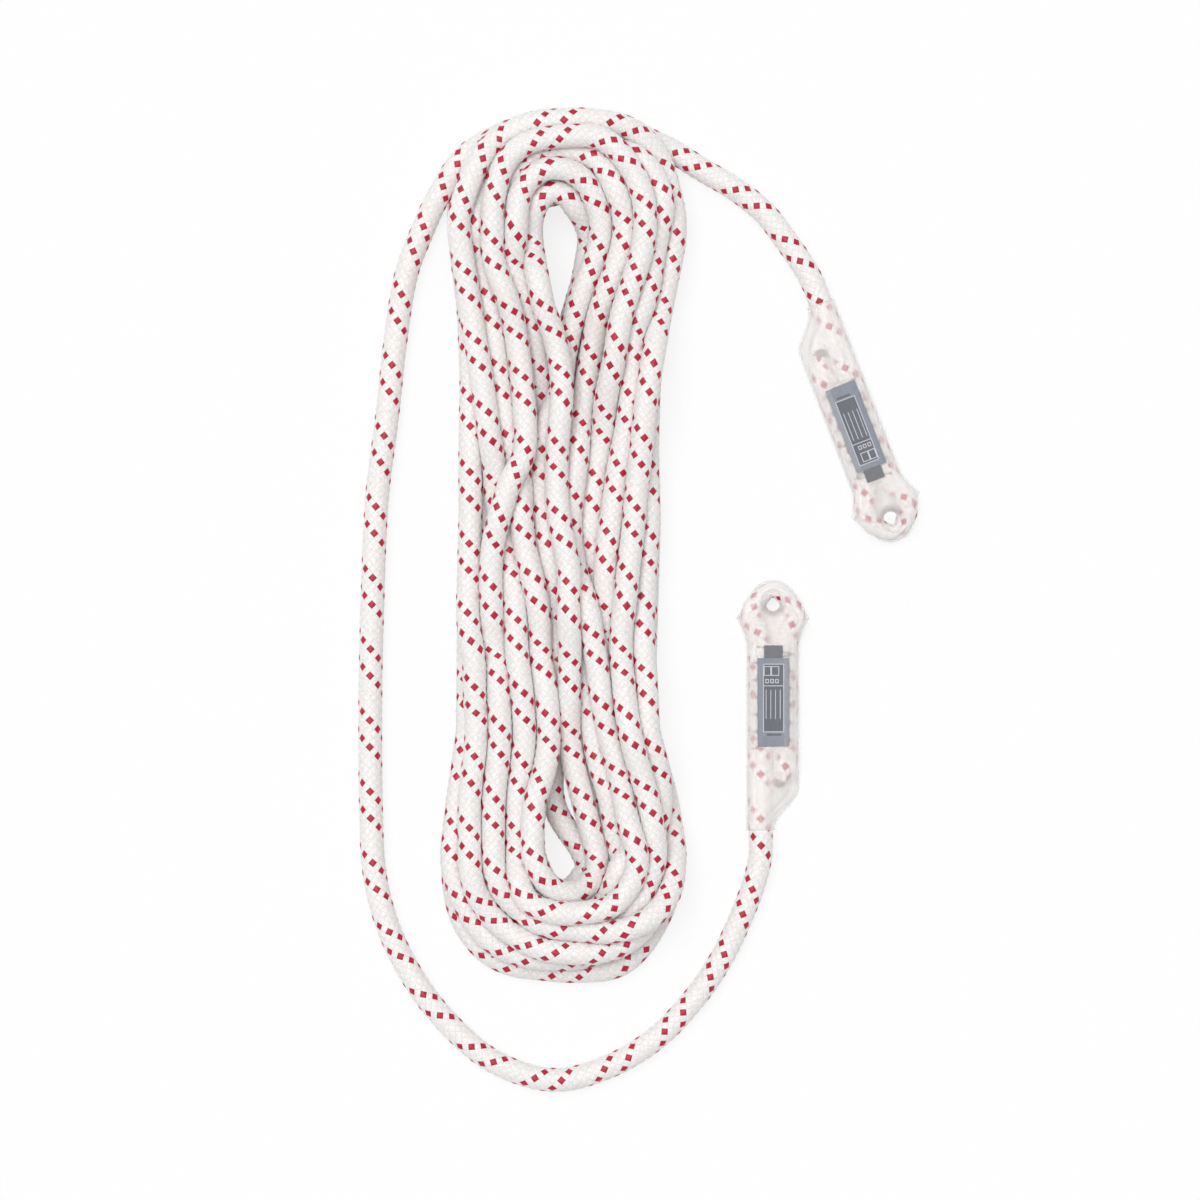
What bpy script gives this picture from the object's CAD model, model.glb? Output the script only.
"""Looks for the static rope: one braided rope from eye to eye, its sewn eyes, labels and clear sleeves.

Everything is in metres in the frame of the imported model. The hank's turns are laid out on the photograph
and then settled on each other, so that no strand passes through another.
"""

import math

import bmesh
import bpy
import numpy as np
from mathutils import Matrix, Vector
from mathutils.geometry import delaunay_2d_cdt


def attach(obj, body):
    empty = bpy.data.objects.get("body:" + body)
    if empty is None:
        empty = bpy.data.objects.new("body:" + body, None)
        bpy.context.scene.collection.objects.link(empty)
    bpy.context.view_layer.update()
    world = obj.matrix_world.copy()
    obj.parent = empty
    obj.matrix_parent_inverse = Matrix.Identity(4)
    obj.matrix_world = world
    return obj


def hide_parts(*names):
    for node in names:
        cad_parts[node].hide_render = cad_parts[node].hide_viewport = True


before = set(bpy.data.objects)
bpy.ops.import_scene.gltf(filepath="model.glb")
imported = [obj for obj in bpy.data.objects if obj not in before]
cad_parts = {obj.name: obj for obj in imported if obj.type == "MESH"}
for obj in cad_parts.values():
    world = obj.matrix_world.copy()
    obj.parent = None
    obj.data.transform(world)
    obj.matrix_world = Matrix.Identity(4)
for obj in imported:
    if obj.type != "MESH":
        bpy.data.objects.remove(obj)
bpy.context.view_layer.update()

# The photograph: straight above, with this many metres to one of its pixels
PHOTO_SIZE = 1200
PIXEL = 0.000449
ORIGIN_COLUMN = 637.5
ORIGIN_ROW = 599.5

# The rope and its sewn eyes, with the numbers that the source of the solids has
ROPE_DIAMETER = 0.0110
ROPE_RADIUS = ROPE_DIAMETER / 2
TOUCH_GAP = 0.0002
TAIL_Z = ROPE_RADIUS + TOUCH_GAP
RETURN_LEG_START = 0.0190
SEWN_LENGTH = 0.0639
EYE_SPREAD_LENGTH = 0.0141
EYE_OPENING = 0.0080
EYE_CROWN_REACH = 0.0108
EYE_CROWN_NARROWING = 0.0019
FUSED_END_LENGTH = 0.0020
SLEEVE_WALL = 0.0008
THREAD_DIAMETER = 0.0005
LEG_OFFSET = ROPE_RADIUS + TOUCH_GAP / 2
EYE_BEND_RADIUS = EYE_OPENING / 2 + ROPE_RADIUS
LEGS_PART_Y = RETURN_LEG_START + SEWN_LENGTH
HEAD_CENTRE_Y = LEGS_PART_Y + EYE_SPREAD_LENGTH
EYE_ROPE_Z = SLEEVE_WALL + TOUCH_GAP + THREAD_DIAMETER + TOUCH_GAP + ROPE_RADIUS
LOWER_MOUTH = (0.0609, -0.1035)
LOWER_TURN = 0.0
UPPER_MOUTH = (0.0771, 0.1310)
UPPER_TURN = math.radians(201.2)
STITCH_PITCH = 0.0038
STITCH_OVERHANG = 0.0038
LABEL_THICKNESS = 0.0003
LABEL_TIP_SETBACK = 0.0187
LABEL_EYE_SETBACK = 0.0057
LABEL_WIDTH = 0.0142
TAPE_WIDTH = 0.0082
LABEL_START_Y = RETURN_LEG_START + LABEL_TIP_SETBACK
LABEL_END_Y = LEGS_PART_Y - LABEL_EYE_SETBACK
THREAD_REACH = ROPE_RADIUS + TOUCH_GAP + THREAD_DIAMETER / 2
TAPE_BOTTOM_Z = EYE_ROPE_Z + THREAD_REACH + THREAD_DIAMETER / 2 + TOUCH_GAP
LABEL_BOTTOM_Z = TAPE_BOTTOM_Z + LABEL_THICKNESS + TOUCH_GAP
SLEEVE_TOP_Z = LABEL_BOTTOM_Z + LABEL_THICKNESS + TOUCH_GAP + SLEEVE_WALL
SLEEVE_COVER = ROPE_RADIUS + TOUCH_GAP + SLEEVE_WALL

# The sewn eyes' own shape here, which is finer than the solids'
EYE_PINCH = 0.08  # how much narrower the rope is pressed round an eye
EYE_CORNER = 0.10  # how much closer to the eye's middle the rope lies between its sides and its crown
CUT_END_LENGTH = 0.0090  # over which the rope narrows to its melted tip
CUT_END_SIZE = 0.38
CUT_END_SHIFT = 0.0028  # how far the tip lies towards the standing leg
STITCH_SETBACK = 0.0175  # from that tip to the first stitch
STITCH_START_Y = RETURN_LEG_START + STITCH_SETBACK
EYE_SPREAD_STEPS = 5
EYE_BEND_STEPS = 14
CUT_END_STEPS = 4

# The tails' routes, from the hank to the sleeves: x, y, and how far the rope is off the ground
LONG_TAIL_ROUTE = (
    (-0.0899, 0.1805, 0), (-0.0970, 0.1650, 0), (-0.1040, 0.1460, 0), (-0.1088, 0.1165, 0),
    (-0.1127, 0.0810, 0), (-0.1172, 0.0447, 0), (-0.1194, -0.0092, 0), (-0.1201, -0.0451, 0),
    (-0.1197, -0.0990, 0), (-0.1178, -0.1259, 0), (-0.1110, -0.1500, 0), (-0.0990, -0.1730, 0),
    (-0.0837, -0.1920, 0), (-0.0640, -0.2080, 0), (-0.0379, -0.2160, 0), (-0.0130, -0.2100, 0),
    (0.0080, -0.1975, 0), (0.0250, -0.1800, 0), (0.0380, -0.1610, 0), (0.0465, -0.1430, 0.0004),
    (0.0527, -0.1265, 0.0012),
)
SHORT_TAIL_ROUTE = (
    (0.0141, 0.2026, 0), (0.0292, 0.1932, 0), (0.0440, 0.1845, 0), (0.0575, 0.1735, 0),
    (0.0672, 0.1608, 0.0006), (0.0738, 0.1512, 0.0012),
)

# The hank's legs: the columns of the photograph where each one crosses these rows, and its layer there.
# Layer 0 lies on the ground and layer 2 on top. A leg that the photograph hides has a side and a lane,
# from 0 at the outside to 3 beside the hole, and one layer.
LEG_ROWS = (240, 310, 380, 450, 520, 590, 660, 730, 800, 850)
LANES = {
    "left": (
        (460, 469, 472, 471, 471, 469, 468, 468, 458, 452),
        (531, 545, 546, 546, 546, 547, 547, 546, 535, 533),
    ),
    "right": (
        (675, 661, 649, 647, 649, 647, 645, 648, 667, 675),
        (590, 573, 570, 571, 571, 571, 571, 572, 590, 590),
    ),
}
LAST_LANE = 3
# How far a strand's middle may go out round the hank's two ends: the rows, and the columns there, of the
# sides above and below the legs, and the columns of the ends with their top and bottom rows.
SIDES_ABOVE = ((150, 175, 200), (467, 459, 458), (659, 670, 674))
SIDES_BELOW = ((884, 900, 916, 932), (449, 450, 451, 455), (673, 670, 667, 662))
END_COLUMNS = (452, 465, 480, 500, 530, 565, 600, 630, 650, 665, 675)
TOP_ROWS = (185, 160, 147, 137, 126, 122, 122, 128, 141, 157, 180)
BOTTOM_ROWS = (918, 946, 958, 965, 968, 972, 971, 965, 952, 932, 895)
LEGS = {
    "down_1": ("right", 1.2, 0),
    "down_2": (
        (675, 668, 658, 650, 649, 652, 652, 655, 671, 675),
        (0, 0, 0, 0, 0, 0.2, 0.4, 0.7, 1.2, 1.5),
    ),
    "down_3": (
        (646, 625, 613, 600, 590, 585, 590, 600, 622, 640),
        (2.3, 2.3, 2.2, 2.1, 1.7, 1.1, 1, 1, 1, 1),
    ),
    "down_4": (
        (667, 660, 652, 648, 647, 643, 642, 653, 661, 658),
        (1, 1, 1, 1, 1.2, 1.4, 1.5, 1.5, 1.5, 1.4),
    ),
    "down_5": ("right", 1, 1),
    "down_6": (
        (625, 601, 587, 578, 571, 580, 597, 607, 626, 638),
        (2.3, 2.3, 2.2, 2.1, 1.8, 1.8, 2.1, 2.1, 2, 2),
    ),
    "down_7": (
        (672.5, 662, 648, 640, 632, 624, 622, 632, 646, 650),
        (1.6, 1.7, 1.7, 1.8, 1.9, 2, 2, 2, 1.9, 1.4),
    ),
    "down_8": (
        (601, 577, 557, 541, 543, 554, 558, 550, 538, 537),
        (2.2, 2.1, 1.3, 1.7, 1.9, 1.8, 1.6, 1.1, 1.1, 0.9),
    ),
    "down_9": (
        (532, 548, 562, 557, 560, 573, 570, 569, 583, 599),
        (2.2, 2.3, 2.5, 2.3, 2.4, 2.4, 2.2, 2, 2, 2),
    ),
    "down_10": (
        (657, 646, 634, 623, 611.5, 604, 606, 620, 648, 667),
        (1.9, 1.9, 1.9, 1.9, 1.9, 1.6, 1.1, 0.6, 0.2, 0),
    ),
    "down_11": ("right", 2.5, 0),
    "up_1": ("left", 1.2, 0),
    "up_2": (
        (496, 512, 521, 523, 499, 490, 495, 500, 493, 494),
        (2.2, 2.2, 2.3, 2.5, 2.8, 2.3, 2, 2, 2, 2),
    ),
    "up_3": (
        (462, 466, 468, 469, 468, 463, 464, 464, 454, 453),
        (0, 0, 0, 0, 0, 0, 0.1, 0.4, 0.8, 1),
    ),
    "up_4": (
        (462, 466, 468, 466, 469, 472, 477, 480, 471, 474),
        (1, 1, 1.3, 1.5, 1.5, 1.5, 1.6, 1.6, 1.5, 1.4),
    ),
    "up_5": ("left", 1.8, 1),
    "up_6": (
        (463, 472, 482, 495, 504, 514, 519, 524, 518, 515.5),
        (1.9, 1.9, 1.9, 1.9, 1.6, 1.9, 2, 2, 2, 2),
    ),
    "up_7": (
        (511, 529, 538, 540, 537, 537, 535, 530, 520, 512),
        (2.2, 2.2, 2.1, 1.4, 1, 1, 1, 1, 1, 1),
    ),
    "up_8": (
        (584, 568, 568, 573, 573, 573, 568, 559, 552, 577),
        (1.8, 1.4, 1.1, 1, 1, 1, 0.8, 0.3, 0, 0.2),
    ),
    "up_9": (
        (476, 488, 501, 510, 520, 533, 540, 549, 539, 537),
        (2, 2, 2, 1.6, 1.6, 2, 2.1, 2.2, 2.2, 2.3),
    ),
    "up_10": (
        (510, 515, 516, 516, 515, 502, 485, 475, 460, 452),
        (0, 0, 0, 0.2, 0.6, 1, 0.6, 0.2, 0, 0),
    ),
    "up_11": ("left", 0.7, 1),
}

# The bends at the hank's ends, in the order that the rope takes them: the column and row of the bend's
# outermost place on the photograph, and its layer there. A bend at the top follows each leg that goes up.
BOTTOM_BENDS = (
    (560, 943, 0),
    (600, 928, 2.1),
    (565, 958, 0.8),
    (590, 949, 1.6),
    (565, 909, 1.2),
    (562, 917, 2.2),
    (590, 935, 1),
    (572, 899, 0),
    (568, 893, 2.8),
    (575, 972, 0),
    (565, 917, 0.3),
)
TOP_BENDS = (
    (568, 146, 0),
    (560, 133.5, 2.2),
    (565, 163, 1),
    (565, 188, 1),
    (565, 152, 2.4),
    (580, 122.5, 1.8),
    (550, 170.5, 2.5),
    (558, 192.5, 2.6),
    (568, 140, 1),
    (565, 180, 0),
)
# The tails' own stretches over the top end, the same way
LONG_TAIL_BEND = (575, 119, 0.2)
LONG_TAIL_JOIN = ((463, 157, 0), (480, 145, 0), (497, 136, 0), (520, 127, 0), (545, 120.5, 0.1))
SHORT_TAIL_BEND = (560, 125, 0.9)
SHORT_TAIL_JOIN = ((620, 127, 0.7), (645, 138, 0.3))
# The teardrop holes, which the strands' middles stay out of: rows, and the columns of both sides. In the
# bottom one a low strand shows below the right side's upper ones.
HOLES = (
    ((225, 240, 280, 320), (535, 531, 538, 546), (586, 590, 583, 571)),
    ((782, 800, 825, 850, 872), (541, 535, 533, 533, 539), (548, 551, 557, 575, 590)),
)
BEND_SQUARENESS = 2.4
BEND_HEIGHT_LIMIT = 1.5  # of a bend's half width
BEND_STEPS = 7

# How the rope settles, in many small steps
NODE_SPACING = ROPE_DIAMETER / 2
LAYER_HEIGHT = 0.866 * ROPE_DIAMETER  # of round strands in each other's grooves
SETTLE_STEPS = 900
START_THICKNESS = 0.55
GROWTH_SHARE = 0.6  # of the steps, over which the rope swells to its full thickness
FIXED_PULL = 1.0  # the tails stay where they are
SEEN_LAYER = 1.4  # from this layer up a strand shows on top
SEEN_PULL = 0.12
HIDDEN_PULL = 0.01
JOIN_PULL = 0.4  # for the tails' own stretches on the hank, which may reach past its outline
LATE_SHARE = 0.8  # of the steps, after which every pull is weaker
LATE_PULL = 0.6
LIFT_PULL = 0.05  # towards a strand's own layer
LIFT_SHARE = 0.7  # of the steps, over which that pull fades
SINK = 0.00003
CEILING = 0.0380  # the press that flattens the heap comes down to this height
PRESS_START = 0.02  # how much higher the press starts
LENGTH_ROUNDS = 2
LENGTH_GIVE = 0.25  # of a stretch, that each of its ends takes back in a round
STIFFNESS = 0.25
PUSH_GIVE = 0.4  # of an overlap, that each strand moves in a step
NEAR_ALONG = 3
NEAR_REACH = 1.3 * ROPE_DIAMETER
NEAR_EVERY = 8  # steps from one search for near strands to the next
NEAR_BLOCK = 256  # points that are searched for at a time
NO_LENGTH = 1e-6

# The braid: eight pairs of strands, each crossing in its own cell of this length
BRAID_STRANDS = 8
BRAID_COLUMNS = 2 * BRAID_STRANDS
BRAID_CELL = 0.0040
BRAID_RELIEF = 0.00034
RED_STRANDS = (0, 3)
# Its map for baking lays the rope out in strips of this length, side by side, with these margins
BAKE_STRIP = 0.6
BAKE_ROWS = round(BAKE_STRIP / (BRAID_CELL / 2))
BAKE_SIDE = 0.03
BAKE_END = 0.005


def on_photo(column, row):
    return (column - ORIGIN_COLUMN) * PIXEL, (ORIGIN_ROW - row) * PIXEL


def layer_z(layer):
    return TAIL_Z + layer * LAYER_HEIGHT


# The rope's route
def smooth(points, steps=10):
    """Points close together on a smooth curve through these points; further columns go along with them."""
    points = np.array(points, float)
    ends = np.vstack([2 * points[0] - points[1], points, 2 * points[-1] - points[-2]])
    fine = []
    for before, start, end, after in zip(ends, ends[1:], ends[2:], ends[3:]):
        reach = np.linalg.norm((end - start)[:3]) / 3
        leave = start + (end - before) * reach / np.linalg.norm((end - before)[:3])
        arrive = end - (after - start) * reach / np.linalg.norm((after - start)[:3])
        for step in range(steps):
            t = step / steps
            point = (1 - t) ** 3 * start + 3 * (1 - t) ** 2 * t * leave
            fine.append(point + 3 * (1 - t) * t**2 * arrive + t**3 * end)
    fine.append(points[-1])
    return np.array(fine)


def evenly(points, spacing):
    """The same line with points an even distance apart."""
    steps = np.linalg.norm(np.diff(points[:, :3], axis=0), axis=1)
    along = np.concatenate([[0.0], np.cumsum(steps)])
    places = np.linspace(0.0, along[-1], max(2, round(along[-1] / spacing) + 1))
    return np.stack([np.interp(places, along, column) for column in points.T], axis=1)


def ease(share):
    return (1 - math.cos(math.pi * share)) / 2


def eye_points():
    """A sewn eye's rope in the eye's own frame: up the standing leg, round, and down the returned leg,
    whose narrowing end lies close to the standing one."""

    def leg(start):
        length = LEGS_PART_Y - start
        steps = round(length / ROPE_DIAMETER)
        straight = [(LEG_OFFSET, start + length * step / steps) for step in range(steps)]
        spread = EYE_BEND_RADIUS - LEG_OFFSET
        parting = []
        for step in range(EYE_SPREAD_STEPS):
            x = LEG_OFFSET + spread * ease(step / EYE_SPREAD_STEPS)
            parting.append((x, LEGS_PART_Y + EYE_SPREAD_LENGTH * step / EYE_SPREAD_STEPS))
        return straight + parting

    bend = []
    for step in range(EYE_BEND_STEPS + 1):
        angle = math.pi * (1 - step / EYE_BEND_STEPS)
        drawn_in = 1 - EYE_CORNER * math.sin(2 * angle) ** 2
        x, y = EYE_BEND_RADIUS * math.cos(angle), EYE_CROWN_REACH * math.sin(angle)
        bend.append((drawn_in * x, HEAD_CENTRE_Y + drawn_in * y))
    standing = [(-x, y) for x, y in leg(0.0)]
    tip = RETURN_LEG_START + FUSED_END_LENGTH + TOUCH_GAP
    drawn_end = []
    for step in range(CUT_END_STEPS):
        share = step / CUT_END_STEPS
        x = LEG_OFFSET - CUT_END_SHIFT * (1 - share) ** 2
        drawn_end.append((x, tip + share * CUT_END_LENGTH))
    returned = drawn_end + leg(tip + CUT_END_LENGTH)
    return [(x, y, EYE_ROPE_Z) for x, y in [*standing, *bend, *reversed(returned)]]


def eye_place(mouth, turn):
    return Matrix.Translation((*mouth, 0.0)) @ Matrix.Rotation(turn, 4, "Z")


def firmness(layer):
    """How firmly a strand keeps to its place on the photograph: more so where it shows."""
    return SEEN_PULL if layer >= SEEN_LAYER else HIDDEN_PULL


def leg_points(name):
    """A leg's points from the top row to the bottom one: x, y, z and how firmly it keeps its place."""
    first, second = LEGS[name][:2]
    if isinstance(first, str):
        share = second / LAST_LANE
        columns = [a + (b - a) * share for a, b in zip(*LANES[first])]
        layers = [LEGS[name][2]] * len(LEG_ROWS)
    else:
        columns, layers = first, second
    return [
        (*on_photo(column, row), layer_z(layer), firmness(layer))
        for column, row, layer in zip(columns, LEG_ROWS, layers)
    ]


def bend_points(start, crown, end):
    """A bend from one leg's last point over its outermost place to the next leg's first point."""
    column, row, layer = crown
    x, y = on_photo(column, row)
    z = layer_z(layer)
    firm = firmness(layer)

    def half(foot, upwards):
        width, height = foot[0] - x, y - foot[1]
        rise = math.copysign(min(abs(height), BEND_HEIGHT_LIMIT * abs(width)), height)
        made = []
        for step in range(1, BEND_STEPS):
            angle = math.pi / 2 * step / BEND_STEPS
            across = math.cos(angle) ** (2 / BEND_SQUARENESS)
            over = math.sin(angle) ** (2 / BEND_SQUARENESS)
            height_here = foot[2] + (z - foot[2]) * ease(step / BEND_STEPS)
            made.append((x + width * across, y - rise + rise * over, height_here, firm))
        return made if upwards else made[::-1]

    return [*half(start, True), (x, y, z, firm), *half(end, False)]


def join_points(stretch):
    """A tail's own stretch over the hank's top end."""
    return [(*on_photo(column, row), layer_z(layer), JOIN_PULL) for column, row, layer in stretch]


def hank_points():
    """All the turns, from where the long tail comes on to where the short tail goes off."""
    numbers = range(1, len(BOTTOM_BENDS) + 1)
    downs = [leg_points(f"down_{number}") for number in numbers]
    ups = [leg_points(f"up_{number}")[::-1] for number in numbers]
    first, last = downs[0][0], ups[-1][-1]
    points = join_points(LONG_TAIL_JOIN)
    points += bend_points(first, LONG_TAIL_BEND, first)[BEND_STEPS - 1 :]
    for index, (down, up) in enumerate(zip(downs, ups)):
        points += [*down, *bend_points(down[-1], BOTTOM_BENDS[index], up[0]), *up]
        if index < len(TOP_BENDS):
            points += bend_points(up[-1], TOP_BENDS[index], downs[index + 1][0])
    points += bend_points(last, SHORT_TAIL_BEND, last)[:BEND_STEPS]
    return points + join_points(SHORT_TAIL_JOIN)


def tail_points(route, mouth, turn):
    """A tail from the hank to the tip of its sewn eye."""
    place = eye_place(mouth, turn)
    points = [(x, y, TAIL_Z + rise) for x, y, rise in route]
    points.append(tuple(place @ Vector((-LEG_OFFSET, -ROPE_DIAMETER, EYE_ROPE_Z))))
    points += [tuple(place @ Vector(point)) for point in eye_points()]
    return [(*point, FIXED_PULL) for point in points]


def whole_route():
    """The rope from the tip of the lower eye to the tip of the upper one."""
    lower = tail_points(LONG_TAIL_ROUTE, LOWER_MOUTH, LOWER_TURN)[::-1]
    upper = tail_points(SHORT_TAIL_ROUTE, UPPER_MOUTH, UPPER_TURN)
    return evenly(smooth([*lower, *hank_points(), *upper]), NODE_SPACING)


def settled(route):
    """Pushes the strands apart until they lie on and beside each other; the tails stay where they are."""
    place, goal, pull = route[:, :3].copy(), route[:, :2].copy(), route[:, 3].copy()
    loose = (pull < FIXED_PULL / 2)[:, None]
    free = loose.astype(float)
    rest = np.linalg.norm(np.diff(place, axis=0), axis=1)
    pull = np.where(loose, np.maximum(pull[:, None], 0.0), 0.0)
    walled = loose & (pull < (SEEN_PULL + JOIN_PULL) / 2)
    height = place[:, 2].copy()
    walls = hank_walls()
    for step in range(SETTLE_STEPS):
        share = step / SETTLE_STEPS
        thickness = START_THICKNESS + (1 - START_THICKNESS) * share / GROWTH_SHARE
        thick = ROPE_DIAMETER * min(1.0, thickness)
        if step % NEAR_EVERY == 0:
            first, second = near_pairs(place, NEAR_REACH)
        late = 1.0 if share < LATE_SHARE else LATE_PULL
        place[:, :2] += late * pull * free * (goal - place[:, :2])
        lift = LIFT_PULL * max(0.0, 1 - share / LIFT_SHARE)
        place[:, 2] += free[:, 0] * (lift * (height - place[:, 2]) - SINK)
        for _ in range(LENGTH_ROUNDS):
            gap = place[1:] - place[:-1]
            length = np.linalg.norm(gap, axis=1)
            move = LENGTH_GIVE * gap * ((length - rest) / length)[:, None]
            place[:-1] += move * free[:-1]
            place[1:] -= move * free[1:]
        place += STIFFNESS * bending(place) * free
        place += pushes(place, first, second, thick) * free
        place[:, :2] = np.where(walled, within_walls(place, walls), place[:, :2])
        ceiling = CEILING + PRESS_START * max(0.0, 1 - share / GROWTH_SHARE) - ROPE_RADIUS
        place[:, 2] = np.clip(place[:, 2], ROPE_RADIUS, ceiling)
    return place


def bending(place):
    """Which way each point goes to make the rope's bends rounder."""
    bend = np.zeros_like(place)
    bend[1:-1] = (place[2:] + place[:-2]) / 2 - place[1:-1]
    bend[1:-1] -= (bend[2:] + bend[:-2]) / 2
    return bend


def pushes(place, first, second, thick):
    """How far each point is pushed by those that are nearer to it than the rope is thick."""
    gap = place[first] - place[second]
    length = np.linalg.norm(gap, axis=1)
    close = length < thick
    gap, length = gap[close], length[close]
    push = PUSH_GIVE * gap * ((thick - length) / np.maximum(length, NO_LENGTH))[:, None]
    to, away, count = first[close], second[close], len(place)
    axes = [np.bincount(to, part, count) - np.bincount(away, part, count) for part in push.T]
    return np.stack(axes, axis=1)


def hank_walls():
    """The outline that strands keep inside: its sides by y, its ends by x, and each hole's sides by y."""

    def by_y(rows, *sides):
        x, y = on_photo(np.array(sides), np.array(rows))
        return y[::-1], *x[:, ::-1]

    beside_legs = LEG_ROWS, LANES["left"][0], LANES["right"][0]
    sides = [sum(parts, ()) for parts in zip(SIDES_ABOVE, beside_legs, SIDES_BELOW)]
    x, (low, high) = on_photo(np.array(END_COLUMNS), np.array((BOTTOM_ROWS, TOP_ROWS)))
    return by_y(*sides), (x, low, high), [by_y(*hole) for hole in HOLES]


def within_walls(place, walls):
    """The points' x and y, brought inside the hank's outline and out of its two holes."""
    (side_y, left, right), (end_x, low, high), holes = walls
    x = place[:, 0]
    y = np.clip(place[:, 1], np.interp(x, end_x, low), np.interp(x, end_x, high))
    beside = (y > side_y[0]) & (y < side_y[-1])
    x = np.where(beside, np.clip(x, np.interp(y, side_y, left), np.interp(y, side_y, right)), x)
    for hole_y, left, right in holes:
        beside = (y > hole_y[0]) & (y < hole_y[-1])
        left, right = np.interp(y, hole_y, left), np.interp(y, hole_y, right)
        out = np.where(x < (left + right) / 2, np.minimum(x, left), np.maximum(x, right))
        x = np.where(beside, out, x)
    return np.stack([x, y], axis=1)


def near_pairs(place, reach):
    """The pairs of points within reach of each other that aren't next to each other along the rope."""
    count = len(place)
    first, second = [], []
    for start in range(0, count, NEAR_BLOCK):
        block = place[start : start + NEAR_BLOCK]
        far = ((block[:, None, :] - place[None, :, :]) ** 2).sum(axis=2)
        rows, columns = np.nonzero(far < reach**2)
        rows = rows + start
        keep = columns - rows > NEAR_ALONG
        first.append(rows[keep])
        second.append(columns[keep])
    return np.concatenate(first), np.concatenate(second)


# The rope's mesh
def directions(line):
    """For each point of a line, its direction and two square to it that don't twist round it."""
    ahead = np.gradient(line, axis=0)
    ahead /= np.linalg.norm(ahead, axis=1)[:, None]
    side = np.zeros_like(line)
    side[0] = np.cross(ahead[0], (0.0, 0.0, 1.0))
    side[0] /= np.linalg.norm(side[0])
    for index in range(1, len(line)):
        turned = side[index - 1] - ahead[index] * np.dot(side[index - 1], ahead[index])
        side[index] = turned / np.linalg.norm(turned)
    return ahead, side, np.cross(ahead, side)


def eye_sizes(line):
    """For each point of a line, how much of its width in plan, and of its radius, the rope keeps there."""
    widths, radii = np.ones(len(line)), np.ones(len(line))
    for mouth, turn in ((LOWER_MOUTH, LOWER_TURN), (UPPER_MOUTH, UPPER_TURN)):
        back = np.array(eye_place(mouth, turn).inverted())
        local = line @ back[:3, :3].T + back[:3, 3]
        near = np.hypot(local[:, 0], local[:, 1] - HEAD_CENTRE_Y) < 2 * EYE_BEND_RADIUS
        share = np.clip((local[:, 1] - LEGS_PART_Y) / EYE_SPREAD_LENGTH, 0.0, 1.0)
        widths = np.where(near, 1 - EYE_PINCH * share, widths)
        radii = np.where(near, 1 - crown_narrowing(local[:, 1]) / ROPE_RADIUS, radii)
    return widths, radii


def crown_narrowing(y):
    """How much smaller the rope's radius is this far along an eye: most of all at its crown."""
    return EYE_CROWN_NARROWING * np.clip((y - HEAD_CENTRE_Y) / EYE_CROWN_REACH, 0.0, 1.0) ** 2


def braid_middles(rows):
    """Which of the points round the rope are a crossing's raised middle."""
    row, column = np.indices((rows, BRAID_COLUMNS))
    return (row + column) % 2 == 0


def braid_points(line):
    """The points of the rope's surface, ring after ring round its line."""
    rows = len(line)
    ahead, side, other = directions(line)
    angle = 2 * math.pi * np.arange(BRAID_COLUMNS) / BRAID_COLUMNS
    radius = np.where(braid_middles(rows), ROPE_RADIUS, ROPE_RADIUS - BRAID_RELIEF)
    from_end = np.minimum(np.arange(rows), np.arange(rows)[::-1]) * BRAID_CELL / 2 / CUT_END_LENGTH
    widths, radii = eye_sizes(line)
    radii *= 1 - (1 - CUT_END_SIZE) * (1 - np.clip(from_end, 0.0, 1.0)) ** 2
    spoke = np.cos(angle)[None, :, None] * side[:, None, :]
    spoke += np.sin(angle)[None, :, None] * other[:, None, :]
    level = np.cross((0.0, 0.0, 1.0), ahead)
    level /= np.linalg.norm(level, axis=1)[:, None]
    offset = (radius * radii[:, None])[:, :, None] * spoke
    outwards = (offset * level[:, None, :]).sum(axis=2) * (1 - widths)[:, None]
    offset -= outwards[:, :, None] * level[:, None, :]
    return (line[:, None, :] + offset).reshape(-1, 3)


def bake_place(row, column, strip, strips):
    """Where a point of the braid is on the map for baking."""
    across = (strip + BAKE_SIDE + (1 - 2 * BAKE_SIDE) * (column + 1) / (BRAID_COLUMNS + 2)) / strips
    up = BAKE_END + (1 - 2 * BAKE_END) * (row - strip * BAKE_ROWS + 1) / (BAKE_ROWS + 2)
    return np.stack([across, up], axis=1)


def yarn_place(row, column, odd, down, right):
    """Where a point of a crossing is in its own square of the yarn map, whose second axis is along it."""
    plus, minus = (down - right) / 2, (down + right) / 2
    along, across = np.where(odd, minus, plus), np.where(odd, plus, minus)
    return np.stack([column + 0.5 + across, row + 0.5 + along], axis=1)


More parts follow.
